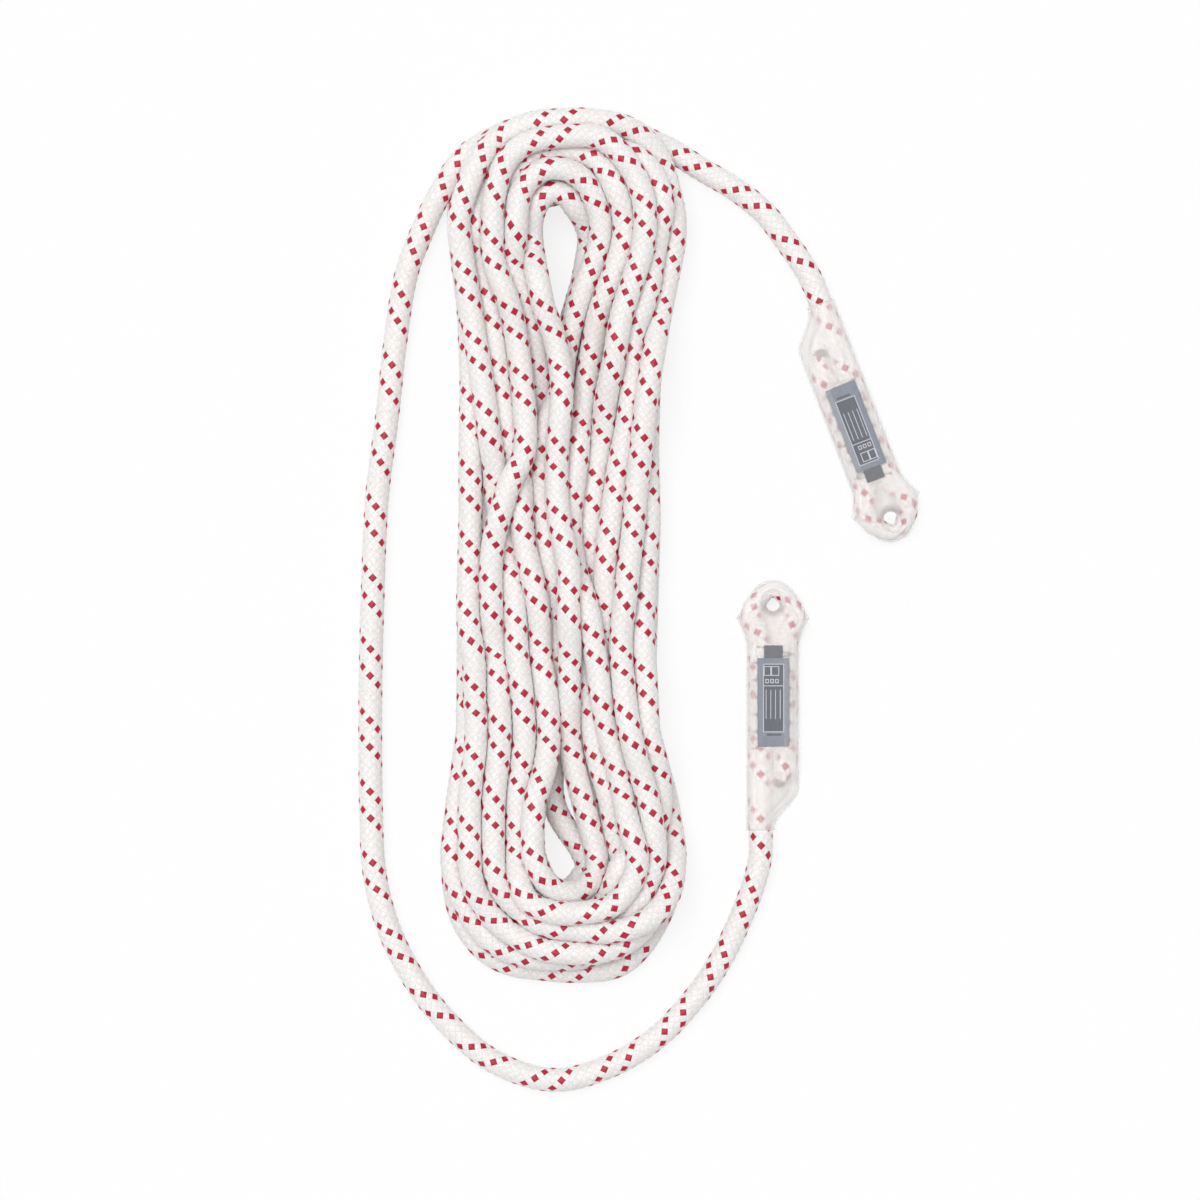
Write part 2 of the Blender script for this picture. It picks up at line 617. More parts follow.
def braid_faces(rows):
    """Four triangles for each crossing, their places on both maps, and which are red."""
    middle_row, middle_column = np.nonzero(braid_middles(rows))
    odd = middle_row % 2 == 1
    strand = (middle_row // 2 + middle_column // 2) % BRAID_STRANDS
    red = ~odd & np.isin(strand, RED_STRANDS)
    strips = math.ceil(rows / BAKE_ROWS)
    corners = ((0, 1), (1, 0), (0, -1), (-1, 0))
    faces, bake, yarn, reds = [], [], [], []
    for here, there in zip(corners, corners[1:] + corners[:1]):
        whole = (middle_row + min(here[0], there[0]) >= 0) & (middle_row + max(here[0], there[0]) < rows)
        row, column, turned = middle_row[whole], middle_column[whole], odd[whole]
        around = ((0, 0), here, there)
        at = [(row + down, column + right) for down, right in around]
        faces.append(np.stack([r * BRAID_COLUMNS + c % BRAID_COLUMNS for r, c in at], axis=1))
        bake.append(np.stack([bake_place(r, c, row // BAKE_ROWS, strips) for r, c in at], axis=1))
        yarn.append(np.stack([yarn_place(row, column, turned, *corner) for corner in around], axis=1))
        reds.append(red[whole])
    return [np.concatenate(parts) for parts in (faces, bake, yarn, reds)]


def rope_mesh(line, finishes):
    """A round braid: every cell is one strand's crossing, four triangles round a raised middle."""
    points = braid_points(line)
    faces, bake, yarn, reds = braid_faces(len(line))
    mesh = bpy.data.meshes.new("rope")
    mesh.vertices.add(len(points))
    mesh.vertices.foreach_set("co", points.ravel())
    mesh.loops.add(faces.size)
    mesh.loops.foreach_set("vertex_index", faces.ravel())
    mesh.polygons.add(len(faces))
    mesh.polygons.foreach_set("loop_start", np.arange(0, faces.size, 3))
    mesh.polygons.foreach_set("material_index", reds.astype(int))
    mesh.update(calc_edges=True)
    mesh.uv_layers.new(name="OFBake").data.foreach_set("uv", bake.ravel())
    mesh.uv_layers.new(name="yarn").data.foreach_set("uv", yarn.ravel())
    coat(mesh, finishes)
    return mesh


def coat(mesh, finishes):
    """Shades a mesh smoothly and gives it its materials."""
    mesh.shade_smooth()
    for finish in finishes:
        mesh.materials.append(finish)


def mesh_of(name, shape, finishes):
    """A finished shape's mesh."""
    mesh = bpy.data.meshes.new(name)
    shape.to_mesh(mesh)
    shape.free()
    coat(mesh, finishes)
    return mesh


# Materials
YARN_GLOW_REACH = 0.0040  # how far light spreads inside the yarn
CLEAR_GLOW_REACH = 0.0020
RIM_INSIDE = 0.12  # how far inside its spread a crossing starts to take its edge colour
RIM_OUTSIDE = 0.06  # how far outside it that is complete
# How fine the filaments are across and along a crossing, and how detailed, in its relief and its colour
FILAMENTS = (7.0, 1.6, 2.0)
GRAIN = (3.0, 1.5, 3.0)
FILAMENT_RELIEF = 0.6
GRAIN_CONTRAST = 4.2
GRAIN_START = -1.55
CHANCE_SHARE = 0.25  # how much one crossing differs from another
WEAVE_SCALE = 2500.0
WEAVE_SHARE = 0.6
# The rope's two yarns: their light, dark and edge colours, their spread and their sheen
YARNS = {
    "rope_white": ((1.0, 0.97, 0.945, 1), (0.83, 0.80, 0.775, 1), (0.84, 0.80, 0.77, 1), 0.95, 0.6),
    "rope_red": ((0.57, 0.006, 0.044, 1), (0.38, 0.003, 0.029, 1), (0.42, 0.02, 0.04, 1), 1.10, 0.0),
}
# The woven finishes: their two colours and their roughness
WOVEN = {
    "tape": ((0.065, 0.068, 0.088, 1), (0.13, 0.135, 0.165, 1), 0.6),
    "label_ground": ((0.13, 0.15, 0.20, 1), (0.22, 0.245, 0.30, 1), 0.55),
    "label_panel": ((0.030, 0.037, 0.056, 1), (0.065, 0.077, 0.105, 1), 0.5),
    "label_line": ((0.75, 0.77, 0.80, 1), (0.55, 0.58, 0.63, 1), 0.5),
    "label_margin": ((0.19, 0.205, 0.25, 1), (0.29, 0.305, 0.35, 1), 0.5),
}
THREAD_COLOURS = (0.17, 0.11, 0.11, 1), (0.34, 0.24, 0.22, 1)
FUSED_COLOURS = (0.07, 0.045, 0.04, 1), (0.42, 0.33, 0.28, 1)
MILK = (0.74, 0.715, 0.70, 1), (0.81, 0.79, 0.775, 1)
EDGE_MILK = (0.88, 0.86, 0.85, 1), (0.94, 0.92, 0.91, 1)


class Nodes:
    """A small helper to lay out a material's nodes."""

    def __init__(self, name):
        self.material = bpy.data.materials.new(name)
        self.material.use_nodes = True
        self.tree = self.material.node_tree
        self.shader = self.tree.nodes["Principled BSDF"]

    def add(self, kind, **settings):
        node = self.tree.nodes.new(kind)
        for key, value in settings.items():
            if key in node.inputs:
                node.inputs[key].default_value = value
            else:
                setattr(node, key, value)
        return node

    def link(self, source, target):
        self.tree.links.new(source, target)

    def maths(self, operation, *values):
        node = self.add("ShaderNodeMath", operation=operation)
        self.fill(node.inputs, values)
        return node.outputs[0]

    def mix(self, share, first, second):
        node = self.add("ShaderNodeMix", data_type="RGBA")
        self.fill((node.inputs[0], node.inputs[6], node.inputs[7]), (share, first, second))
        return node.outputs[2]

    def fill(self, sockets, values):
        for socket, value in zip(sockets, values):
            if isinstance(value, (int, float, tuple)):
                socket.default_value = value
            else:
                self.link(value, socket)

    def texture(self, kind, **settings):
        """A texture that is laid out in the piece's own coordinates."""
        node = self.add(kind, **settings)
        self.link(self.add("ShaderNodeTexCoord").outputs["Object"], node.inputs["Vector"])
        return node

    def colour(self, share, first, second):
        self.link(self.mix(share, first, second), self.shader.inputs["Base Color"])

    def bump(self, height, strength, distance):
        node = self.add("ShaderNodeBump", Strength=strength, Distance=distance)
        self.link(height, node.inputs["Height"])
        self.link(node.outputs[0], self.shader.inputs["Normal"])

    def surface(self, values):
        for key, value in values.items():
            self.shader.inputs[key].default_value = value

    def glow(self, weight, radius, scale):
        """Lets light spread inside the material: by this scale, times each colour's own radius."""
        values = {"Weight": weight, "Radius": radius, "Scale": scale}
        self.surface({f"Subsurface {key}": value for key, value in values.items()})


def crossing_shape(nodes, yarn_map):
    """How far a strand swells at each place of its crossing, and how near that is to the cell's edge."""
    split = nodes.add("ShaderNodeSeparateXYZ")
    nodes.link(yarn_map, split.inputs[0])
    dome, farthest = 1.0, 0.0
    for axis in (0, 1):
        local = nodes.maths("MULTIPLY_ADD", nodes.maths("FRACT", split.outputs[axis]), 2.0, -1.0)
        fall = nodes.maths("SUBTRACT", 1.0, nodes.maths("MULTIPLY", local, local))
        dome = nodes.maths("MULTIPLY", dome, fall)
        farthest = nodes.maths("MAXIMUM", farthest, nodes.maths("ABSOLUTE", local))
    return nodes.maths("POWER", nodes.maths("MAXIMUM", dome, 0.0), 0.5), farthest


def filaments(nodes, yarn_map, across, along, detail):
    """Noise that is drawn out along each strand."""
    stretch = nodes.add("ShaderNodeMapping", Scale=(across, along, 1.0))
    nodes.link(yarn_map, stretch.inputs["Vector"])
    noise = nodes.add("ShaderNodeTexNoise", noise_dimensions="2D", Scale=1.0, Detail=detail, Roughness=0.7)
    nodes.link(stretch.outputs[0], noise.inputs["Vector"])
    return noise.outputs["Fac"]


def crossing_grain(nodes, yarn_map):
    """Light and dark filaments, a little different in each crossing."""
    cell = nodes.add("ShaderNodeVectorMath", operation="FLOOR")
    nodes.link(yarn_map, cell.inputs[0])
    chance = nodes.add("ShaderNodeTexWhiteNoise", noise_dimensions="2D")
    nodes.link(cell.outputs[0], chance.inputs["Vector"])
    grain = nodes.maths("MULTIPLY_ADD", filaments(nodes, yarn_map, *GRAIN), GRAIN_CONTRAST, GRAIN_START)
    grain = nodes.maths("MULTIPLY_ADD", chance.outputs["Value"], CHANCE_SHARE, grain)
    grain.node.use_clamp = True
    return grain


def rope_material(name, light, dark, edge, spread, sheen):
    """Shiny filaments along each crossing strand, which swells in the middle and meets its neighbours
    at the edge colour; spread is how much of the cell it fills."""
    nodes = Nodes(name)
    yarn_map = nodes.add("ShaderNodeUVMap", uv_map="yarn").outputs[0]
    swell, farthest = crossing_shape(nodes, yarn_map)
    rim = nodes.add("ShaderNodeMapRange", interpolation_type="SMOOTHSTEP")
    nodes.fill(rim.inputs, (farthest, spread - RIM_INSIDE, spread + RIM_OUTSIDE))
    nodes.colour(rim.outputs[0], nodes.mix(crossing_grain(nodes, yarn_map), dark, light), edge)
    strands = filaments(nodes, yarn_map, *FILAMENTS)
    nodes.bump(nodes.maths("MULTIPLY_ADD", strands, FILAMENT_RELIEF, swell), strength=0.5, distance=0.0005)
    nodes.glow(weight=0.7, radius=(1.0, 0.9, 0.85), scale=YARN_GLOW_REACH)
    nodes.surface({"Roughness": 0.42, "Sheen Weight": sheen, "Sheen Roughness": 0.4})
    return nodes.material


def clear_material(name, alpha, dark, light):
    """Milky soft plastic: cloudy in patches, with a soft shine."""
    nodes = Nodes(name)
    cloud = nodes.texture("ShaderNodeTexNoise", Scale=120.0, Detail=3.0, Roughness=0.6)
    nodes.colour(cloud.outputs["Fac"], dark, light)
    ripple = nodes.texture("ShaderNodeTexNoise", Scale=260.0, Detail=2.0)
    nodes.bump(ripple.outputs["Fac"], strength=0.25, distance=0.0006)
    nodes.glow(weight=0.8, radius=(1.0, 1.0, 1.0), scale=CLEAR_GLOW_REACH)
    nodes.surface({"Roughness": 0.33, "Alpha": alpha})
    return nodes.material


def clear_materials():
    """The sleeve's finishes: on the label, then from its edge inwards, then from over the rope outwards."""
    made = [clear_material("milky_plastic_on_label", OVER_LABEL, *MILK)]
    for number, (_, alpha) in enumerate(EDGE_STEPS):
        made.append(clear_material(f"milky_plastic_edge_{number}", alpha, *EDGE_MILK))
    for number, alpha in enumerate((OVER_ROPE, *(alpha for _, alpha in CLOUDY_STEPS))):
        made.append(clear_material(f"milky_plastic_{number}", alpha, *MILK))
    return made


def woven_material(name):
    """Fine printed tape: a close weave and soft blotches of wear."""
    colour, dark, roughness = WOVEN[name]
    nodes = Nodes(name)
    weave = nodes.texture("ShaderNodeTexVoronoi", Scale=WEAVE_SCALE)
    wear = nodes.texture("ShaderNodeTexNoise", Scale=500.0, Detail=4.0)
    share = nodes.maths("MULTIPLY_ADD", weave.outputs["Distance"], WEAVE_SHARE, wear.outputs["Fac"])
    share.node.use_clamp = True
    nodes.colour(share, colour, dark)
    nodes.bump(weave.outputs["Distance"], strength=0.4, distance=0.0002)
    nodes.surface({"Roughness": roughness})
    return nodes.material


def thread_material():
    """Twisted thread: light and dark plies in turn along it."""
    nodes = Nodes("sewing_thread")
    plies = nodes.texture("ShaderNodeTexWave", Scale=420.0, Distortion=2.0, Detail=1.0)
    plies.bands_direction = "DIAGONAL"
    nodes.colour(plies.outputs["Fac"], *THREAD_COLOURS)
    nodes.bump(plies.outputs["Fac"], strength=0.5, distance=0.0001)
    nodes.surface({"Roughness": 0.55})
    return nodes.material


def fused_material():
    """Melted and set yarn, scorched in places."""
    nodes = Nodes("fused_yarn")
    scorch = nodes.texture("ShaderNodeTexNoise", Scale=600.0, Detail=4.0, Roughness=0.7)
    nodes.colour(scorch.outputs["Fac"], *FUSED_COLOURS)
    nodes.bump(scorch.outputs["Fac"], strength=0.6, distance=0.0004)
    nodes.surface({"Roughness": 0.3})
    return nodes.material


# A clear sleeve, in the eye's own frame
SLEEVE_ROUND = 0.0070  # how far in from its outline the sleeve's top and bottom become flat
SLEEVE_SHELL = 0.0006
SHOULDER_X = 0.0166  # the corners of the head, which its tip's arc runs down to in straight lines
SHOULDER_Y = HEAD_CENTRE_Y - 0.0020
NECK_CURVE = 1.5
TIP_RADIUS = 0.0112
HOLE_WIDTH = 0.0072
HOLE_LENGTH = 0.0082
HOLE_Y = HEAD_CENTRE_Y + 0.0054
HOLE_ROUND = 0.0030
SLOPE_STEPS = 16  # in the taper at the mouth, in the neck and in the head's straight flank
SIDE_STEPS = 40
LEFT_SIDE_STEPS = 52
TIP_STEPS = 40
HOLE_STEPS = 36
MOUTH_STEPS = 11
CLEAR_OF_ROPE = 0.0008  # how far over the rope the sleeve's outside stays
AXIS_SPACING = 0.001
HUG_DEPTH = 0.0003  # how much lower the sleeve lies between and beside the legs
HUG_START = 0.0025  # from the rope's axis
HUG_WIDTH = 0.004
LABEL_MARGIN = 0.001  # how far past the label the sleeve still lies flat on it
EDGE_RINGS = (0.00012, 0.0004, 0.0009, 0.0016, 0.0026, 0.0040, 0.0055)
RING_SHARE = 0.9  # of a ring's distance, that its points keep from every side
SLEEVE_GRID = 0.0011
GRID_FROM_HOLE = 0.0035
POINTS_FROM_MOUTH = 0.0003
POINTS_FROM_WINDOW = 0.0002
WINDOW_RIM = 0.0002
MERGE_DISTANCE = 1e-7
NO_HEIGHT = 1e-6
# How far from the rope's axis the sleeve turns cloudier, in steps, and how much it hides there
CLOUDY_STEPS = ((0.0022, 0.34), (0.0032, 0.42), (0.0042, 0.50), (0.0052, 0.58))
# Up to how far from its outline the sleeve is clearer, in steps, and how much it hides there
EDGE_STEPS = ((0.0004, 0.10), (0.0016, 0.27), (0.0040, 0.40))
OVER_LABEL = 0.05
OVER_ROPE = 0.27


def sleeve_outline():
    """The sleeve's outline from the mouth's right corner, up, round the head and down to its left one."""
    half = LEG_OFFSET + SLEEVE_COVER
    mouth_right = SLEEVE_COVER - LEG_OFFSET
    tip_y = HEAD_CENTRE_Y + EYE_CROWN_REACH + SLEEVE_COVER - EYE_CROWN_NARROWING - TIP_RADIUS
    reach = math.hypot(SHOULDER_X, tip_y - SHOULDER_Y)
    slope = math.atan2(tip_y - SHOULDER_Y, SHOULDER_X) + math.asin(TIP_RADIUS / reach)
    first = math.pi / 2 - slope
    start_x, start_y = TIP_RADIUS * math.cos(first), tip_y + TIP_RADIUS * math.sin(first)
    taper, neck, flank = [], [], []
    for step in range(SLOPE_STEPS):
        share = step / SLOPE_STEPS
        taper.append((mouth_right + (half - mouth_right) * ease(share), RETURN_LEG_START * share))
        x = half + (SHOULDER_X - half) * share**NECK_CURVE
        neck.append((x, LEGS_PART_Y + (SHOULDER_Y - LEGS_PART_Y) * share))
        x = SHOULDER_X + (start_x - SHOULDER_X) * share
        flank.append((x, SHOULDER_Y + (start_y - SHOULDER_Y) * share))
    side = [(half, RETURN_LEG_START + SEWN_LENGTH * step / SIDE_STEPS) for step in range(SIDE_STEPS)]
    tip = []
    for step in range(TIP_STEPS + 1):
        angle = first + (math.pi - 2 * first) * step / TIP_STEPS
        tip.append((TIP_RADIUS * math.cos(angle), tip_y + TIP_RADIUS * math.sin(angle)))
    left_head = [(-x, y) for x, y in reversed([*neck, *flank])]
    left_steps = range(1, LEFT_SIDE_STEPS + 1)
    left_side = [(-half, LEGS_PART_Y * (1 - step / LEFT_SIDE_STEPS)) for step in left_steps]
    return np.array([*taper, *side, *neck, *flank, *tip, *left_head, *left_side])


def hole_outline():
    points = []
    for step in range(HOLE_STEPS):
        angle = 2 * math.pi * step / HOLE_STEPS
        points.append((HOLE_WIDTH / 2 * math.cos(angle), HOLE_Y + HOLE_LENGTH / 2 * math.sin(angle)))
    return np.array(points)


def label_window():
    """The outline of the label and its tape, a little larger, behind which the sleeve is clearest."""
    label, tape = LABEL_WIDTH / 2 + WINDOW_RIM, TAPE_WIDTH / 2 + WINDOW_RIM
    low, shelf, high = LABEL_START_Y - WINDOW_RIM, LABEL_END_Y + WINDOW_RIM, LEGS_PART_Y + WINDOW_RIM
    right = [(label, low), (label, shelf), (tape, shelf), (tape, high)]
    return np.array(right + [(-x, y) for x, y in reversed(right)])


def closed(line):
    return np.vstack([line, line[:1]])


def distance(points, line):
    """How far each point is from the nearest place on a line."""
    start, end = line[:-1], line[1:]
    step = end - start
    offset = points[:, None, :] - start[None, :, :]
    share = np.clip((offset * step).sum(axis=2) / (step**2).sum(axis=1), 0.0, 1.0)
    return np.linalg.norm(offset - share[:, :, None] * step, axis=2).min(axis=1)


def inside(points, loop):
    """Which points are inside a closed outline."""
    found = np.zeros(len(points), bool)
    for (x0, y0), (x1, y1) in zip(loop, np.roll(loop, -1, axis=0)):
        if y0 == y1:
            continue
        crosses = (points[:, 1] > min(y0, y1)) & (points[:, 1] <= max(y0, y1))
        found ^= crosses & (points[:, 0] < x0 + (points[:, 1] - y0) * (x1 - x0) / (y1 - y0))
    return found


def rings_beside(line, ahead, whole_line, sign):
    """Points at each ring's distance from a line, on one side, so that the rounded rim there is fine."""
    normal = np.stack([-ahead[:, 1], ahead[:, 0]], axis=1) / np.linalg.norm(ahead, axis=1)[:, None]
    found = []
    for reach in EDGE_RINGS:
        ring = line + sign * reach * normal
        found.append(ring[distance(ring, whole_line) > RING_SHARE * reach])
    return np.concatenate(found)


def inner_points(outline, hole, window):
    """The sleeve's points in plan inside its edges: rings beside these, and an even grid between."""
    round_hole = np.roll(hole, -1, axis=0) - np.roll(hole, 1, axis=0)
    rings = rings_beside(outline, np.gradient(outline, axis=0), outline, 1)
    hole_rings = rings_beside(hole, round_hole, closed(hole), -1)
    half, top = outline.max(axis=0)
    steps = np.arange(-half, half, SLEEVE_GRID), np.arange(SLEEVE_GRID, top, SLEEVE_GRID)
    grid = np.stack(np.meshgrid(*steps), axis=-1).reshape(-1, 2)
    wide = distance(grid, outline) > EDGE_RINGS[-1]
    grid = grid[wide & (distance(grid, closed(hole)) > GRID_FROM_HOLE)]
    inner = np.concatenate([rings, hole_rings, grid])
    inner = inner[inner[:, 1] > POINTS_FROM_MOUTH]
    return inner[distance(inner, closed(window)) > POINTS_FROM_WINDOW]


def sleeve_plan(outline, hole):
    """The sleeve's plan: its points and the triangles between them."""
    mouth = np.linspace(outline[-1], outline[0], MOUTH_STEPS + 1)[1:-1]
    border, window = np.concatenate([outline, mouth]), label_window()
    edges, start = [], 0
    for loop in (border, hole, window):
        count = len(loop)
        edges += [(start + index, start + (index + 1) % count) for index in range(count)]
        start += count
    plan = np.concatenate([border, hole, window, inner_points(outline, hole, window)])
    made = delaunay_2d_cdt([Vector(point) for point in plan], edges, [], 0, MERGE_DISTANCE)
    plan, triangles = np.array([tuple(point) for point in made[0]]), np.array(made[2])
    centre = plan[triangles].mean(axis=1)
    return plan, triangles[inside(centre, border) & ~inside(centre, hole)]


def round_in(share):
    """The rise of a quarter round, from 0 at the edge to 1."""
    return np.sqrt(1 - (1 - np.clip(share, 0.0, 1.0)) ** 2)


def sleeve_heights(plan, outline, hole, axis):
    """The height of the sleeve's top and of its bottom at each point of its plan."""
    from_edge, from_hole = distance(plan, outline), distance(plan, closed(hole))
    lift = np.minimum(round_in(from_edge / SLEEVE_ROUND), round_in(from_hole / HOLE_ROUND))
    from_rope = distance(plan, axis)
    hug = np.clip((from_rope - HUG_START) / HUG_WIDTH, 0.0, 1.0) ** 2
    x, y = plan.T
    over_label = (abs(x) < LABEL_WIDTH / 2 + LABEL_MARGIN) & (y < LEGS_PART_Y + LABEL_MARGIN)
    over_label &= y > LABEL_START_Y - 2 * LABEL_MARGIN
    hug = np.where(over_label, 0.0, hug)
    top = EYE_ROPE_Z + lift * (SLEEVE_TOP_Z - EYE_ROPE_Z - HUG_DEPTH * hug)
    bottom = EYE_ROPE_Z * (1 - lift)
    rope = ROPE_RADIUS - crown_narrowing(y)
    swell = np.sqrt(np.maximum(rope**2 - from_rope**2, 0.0))
    top = np.where(swell > 0, np.maximum(top, EYE_ROPE_Z + swell + CLEAR_OF_ROPE), top)
    bottom = np.where(swell > 0, np.minimum(bottom, EYE_ROPE_Z - swell - CLEAR_OF_ROPE), bottom)
    return top, bottom


def sleeve_kinds(mesh, outline, axis):
    """Which of the sleeve's finishes each face has."""
    middle = np.zeros(3 * len(mesh.polygons))
    mesh.polygons.foreach_get("center", middle)
    middle = middle.reshape(-1, 3)
    on_label = inside(middle[:, :2], label_window()) & (middle[:, 2] > EYE_ROPE_Z)
    cloudy = np.searchsorted([reach for reach, _ in CLOUDY_STEPS], distance(middle[:, :2], axis))
    edge = np.searchsorted([reach for reach, _ in EDGE_STEPS], distance(middle[:, :2], outline))
    kind = np.where(edge < len(EDGE_STEPS), 1 + edge, 1 + len(EDGE_STEPS) + cloudy)
    return np.where(on_label, 0, kind)


def sleeve_mesh(name, finishes):
    """A soft shell round the sewn rope, open at the mouth: one triangulated plan, lifted and lowered."""
    outline, hole = sleeve_outline(), hole_outline()
    axis = evenly(np.array(eye_points()), AXIS_SPACING)[:, :2]
    plan, triangles = sleeve_plan(outline, hole)
    top, bottom = sleeve_heights(plan, outline, hole, axis)
    lower = np.arange(len(plan)) + np.where(top - bottom < NO_HEIGHT, 0, len(plan))
    faces = np.concatenate([triangles, lower[triangles][:, ::-1]])
    used, faces = np.unique(faces, return_inverse=True)
    points = np.concatenate([np.column_stack([plan, top]), np.column_stack([plan, bottom])])[used]
    mesh = bpy.data.meshes.new(name)
    mesh.from_pydata(points.tolist(), [], faces.reshape(-1, 3).tolist())
    mesh.polygons.foreach_set("material_index", sleeve_kinds(mesh, outline, axis))
    coat(mesh, finishes)
    return mesh


# The label and its tape, in the eye's own frame
PANEL = (-0.0046, 0.0048, 0.0440, 0.0747)  # the printed part: left, right, start and end
FRAME_LINE = 0.00035
PRINT_BOXES = (
    PANEL,
    (-0.0043, -0.0010, 0.0693, 0.0736),
    (-0.0010, 0.0026, 0.0693, 0.0736),
    (-0.0036, -0.0020, 0.0660, 0.0678),
    (-0.0014, 0.0002, 0.0660, 0.0678),
    (0.0008, 0.0024, 0.0660, 0.0678),
)
PRINT_BARS = (
    (-0.0046, 0.0048, 0.0646, 0.06495),
    (-0.0034, -0.0031, 0.0500, 0.0630),
    (-0.0013, -0.0010, 0.0500, 0.0630),
    (0.0008, 0.0011, 0.0500, 0.0630),
    (0.0029, 0.0032, 0.0500, 0.0630),
)
DARK_BAND = (-0.0030, 0.0036, 0.0424, 0.0434)
SAG = 0.0003
STRIP_CELL_WIDTH = 0.0008
STRIP_CELL_LENGTH = 0.002
FOLD_ANGLE = math.radians(50)


def fill_in(lines, widest):
    """The same numbers with others between them, so that no gap is wider than widest."""
    filled = []
    for here, there in zip(lines, lines[1:]):
        steps = max(1, math.ceil((there - here) / widest))
        filled += [here + (there - here) * step / steps for step in range(steps)]
    return [*filled, lines[-1]]


def strip_lines(width, start, end, printed):
    """Where a strip is divided across and along, so that its print has faces of its own."""
    lines_x, lines_y = {-width / 2, width / 2}, {start, end}
    if printed:
        for left, right, low, high in PRINT_BOXES:
            lines_x |= {left, left + FRAME_LINE, right - FRAME_LINE, right}
            lines_y |= {low, low + FRAME_LINE, high - FRAME_LINE, high}
        for left, right, low, high in (*PRINT_BARS, DARK_BAND):
            lines_x |= {left, right}
            lines_y |= {low, high}
    return fill_in(sorted(lines_x), STRIP_CELL_WIDTH), fill_in(sorted(lines_y), STRIP_CELL_LENGTH)


def strip_height(x):
    """A strip dips a little between the legs and bends down past their crowns."""
    past = max(0.0, abs(x) - LEG_OFFSET)
    dip = SAG * math.cos(math.pi / 2 * min(1.0, abs(x) / LEG_OFFSET)) ** 2
    return math.sqrt(ROPE_RADIUS**2 - past**2) - ROPE_RADIUS - dip


def within(x, y, box):
    left, right, low, high = box
    return left < x < right and low < y < high


def print_kind(x, y):
    """0 for the label's ground, 1 for its dark panel, 2 for a printed line and 3 for its pale margin."""
    if any(within(x, y, bar) for bar in PRINT_BARS):
        return 2
    for box in PRINT_BOXES:
        left, right, low, high = box
        if within(x, y, box) and min(x - left, right - x, y - low, high - y) < FRAME_LINE:
            return 2
    if within(x, y, PANEL) or within(x, y, DARK_BAND):
        return 1
    return 3 if x > PANEL[1] else 0


def cell(layer, row, column):
    """The corners of one cell of a layer of points, the way round that faces up."""
    here, after = layer[row], layer[row + 1]
    return [here[column], here[column + 1], after[column + 1], after[column]]


def strip_mesh(name, width, start, end, bottom, finishes):
    """A thin strip laid over both legs; one with several finishes is a label and has its print."""
    printed = len(finishes) > 1
    across, along = strip_lines(width, start, end, printed)
    shape = bmesh.new()
    low, high = [
        [[shape.verts.new((x, y, strip_height(x) + bottom + lift)) for x in across] for y in along]
        for lift in (0.0, LABEL_THICKNESS)
    ]
    for row in range(len(along) - 1):
        for column in range(len(across) - 1):
            x = (across[column] + across[column + 1]) / 2
            y = (along[row] + along[row + 1]) / 2
            top = shape.faces.new(cell(high, row, column))
            top.material_index = print_kind(x, y) if printed else 0
            corner, *others = cell(low, row, column)
            shape.faces.new([corner, *reversed(others)])
    for row in range(len(along) - 1):
        shape.faces.new([low[row][0], high[row][0], high[row + 1][0], low[row + 1][0]])
        shape.faces.new([low[row][-1], low[row + 1][-1], high[row + 1][-1], high[row][-1]])
    for column in range(len(across) - 1):
        shape.faces.new([low[0][column], low[0][column + 1], high[0][column + 1], high[0][column]])
        shape.faces.new([low[-1][column], high[-1][column], high[-1][column + 1], low[-1][column + 1]])
    mesh = mesh_of(name, shape, finishes)
    mesh.set_sharp_from_angle(angle=FOLD_ANGLE)
    return mesh


# The threads and the fused tip, in the eye's own frame
STITCH_SIZES = (1.9, 1.2, 1.0, 1.0, 1.2)  # how thick the thread looks at each of a stitch's points
# How far out of the rope each ring of the tip lies, and its share of the rope's thickness
FUSED_RINGS = (
    (-0.0022, 0.40), (-0.0012, 0.50), (0.0, 0.52), (0.0009, 0.46), (0.0016, 0.30), (0.0020, 0.12),
)
FUSED_SIDES = 28
FUSED_LUMPS = ((0.09, 3, 700), (0.05, 7, 0))  # how high, how many, and how they turn with the depth


def stitch_points(side):
    """A zigzag of thread over both legs, on the top for side 1 and on the underside for side -1."""
    reach = LEG_OFFSET + STITCH_OVERHANG
    crown = LEG_OFFSET / reach
    shoulder = (1 + crown) / 2
    length = LEGS_PART_Y - STITCH_START_Y
    passes = round(length / STITCH_PITCH)
    points = []
    for number in range(passes):
        way = 1 if number % 2 == 0 else -1
        for share in (-1.0, -shoulder, -crown, crown, shoulder):
            x = way * share * reach
            past_crown = max(0.0, abs(x) - LEG_OFFSET)
            height = math.sqrt(THREAD_REACH**2 - past_crown**2)
            y = STITCH_START_Y + length * (number + (share + 1) / 2) / passes
            points.append((x, y, EYE_ROPE_Z + side * height))
    return points


def thread_curve(name, points, finish):
    """A thread along points, thicker at the middle of each stitch."""
    curve = bpy.data.curves.new(name, "CURVE")
    curve.dimensions = "3D"
    curve.bevel_depth = THREAD_DIAMETER / 2
    curve.bevel_resolution = 2
    curve.use_fill_caps = True
    spline = curve.splines.new("POLY")
    spline.points.add(len(points) - 1)
    for index, (point, place) in enumerate(zip(spline.points, points)):
        point.co = (*place, 1.0)
        point.radius = STITCH_SIZES[index % len(STITCH_SIZES)]
    curve.materials.append(finish)
    return curve


